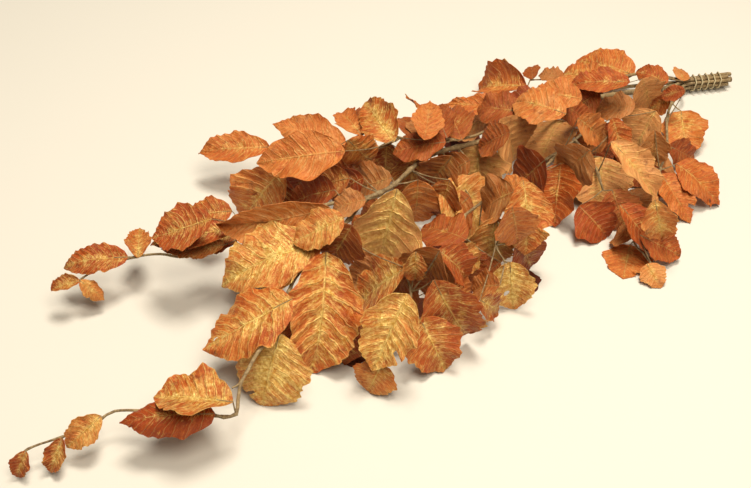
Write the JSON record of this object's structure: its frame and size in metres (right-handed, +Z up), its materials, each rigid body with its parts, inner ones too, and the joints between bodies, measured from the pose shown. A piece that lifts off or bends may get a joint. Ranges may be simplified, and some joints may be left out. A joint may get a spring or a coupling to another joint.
{
  "type": "preserved beech branch",
  "caption": "Tied bunch of preserved beech stems with waved, ribbed leaves, dyed copper and brushed with gold, lying flat for use in dried arrangements.",
  "frame": {"origin": "on the table plane, under the middle of the box round the lying bunch", "axes": "+X along the bunch toward its cut ends, +Z up"},
  "size_m": [0.796, 0.3617, 0.1025],
  "materials": {
    "leafy_branch": "preserved leaves dyed copper, with gold brushed on veins and edges, satin; grey-brown bark",
    "tie": "pale plant fibre, matt"
  },
  "bodies": {
    "root": {"branch_long": "leafy_branch", "branch_upper": "leafy_branch", "branch_lower": "leafy_branch", "branch_top": "leafy_branch", "branch_front": "leafy_branch", "branch_right": "leafy_branch", "tie": "tie"}
  },
  "joints": []
}
